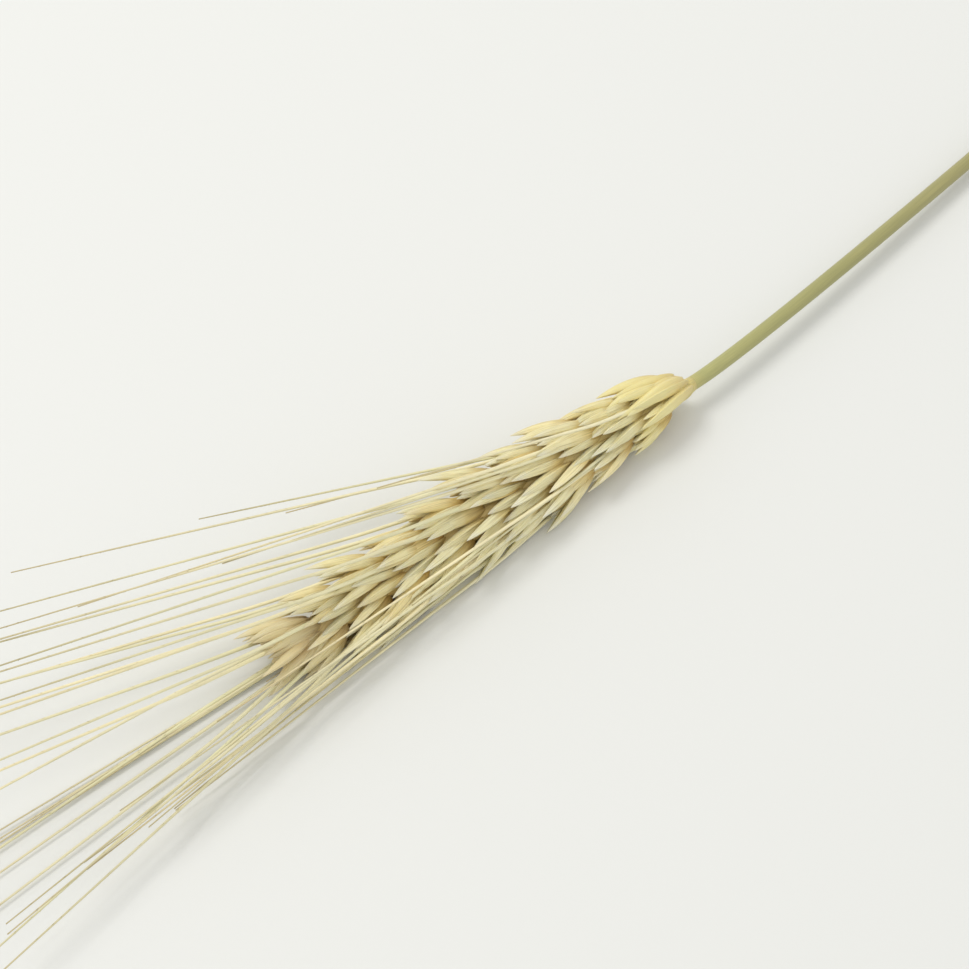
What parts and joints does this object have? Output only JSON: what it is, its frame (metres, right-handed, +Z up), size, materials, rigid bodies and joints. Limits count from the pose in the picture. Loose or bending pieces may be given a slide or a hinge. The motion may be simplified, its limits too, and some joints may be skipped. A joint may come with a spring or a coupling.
{
  "type": "wheat ear",
  "caption": "Ripe bearded wheat ear lying on its side, with overlapping pointed husks in two rows, long fine awns and a length of cut hollow straw.",
  "frame": {"origin": "middle of a small flat spot under the ear, on the surface that it lies on", "axes": "+X along the ear from the straw towards the awn tips, +Z up from the surface, +Y to the row of spikelets that lies low"},
  "size_m": [0.268, 0.0508, 0.0335],
  "materials": {
    "husk": "dry papery scales and awns, pale straw yellow",
    "straw": "smooth dry stalk, green yellow, slightly glossy"
  },
  "bodies": {
    "root": {"ear": "husk", "stalk": "straw"}
  },
  "joints": []
}
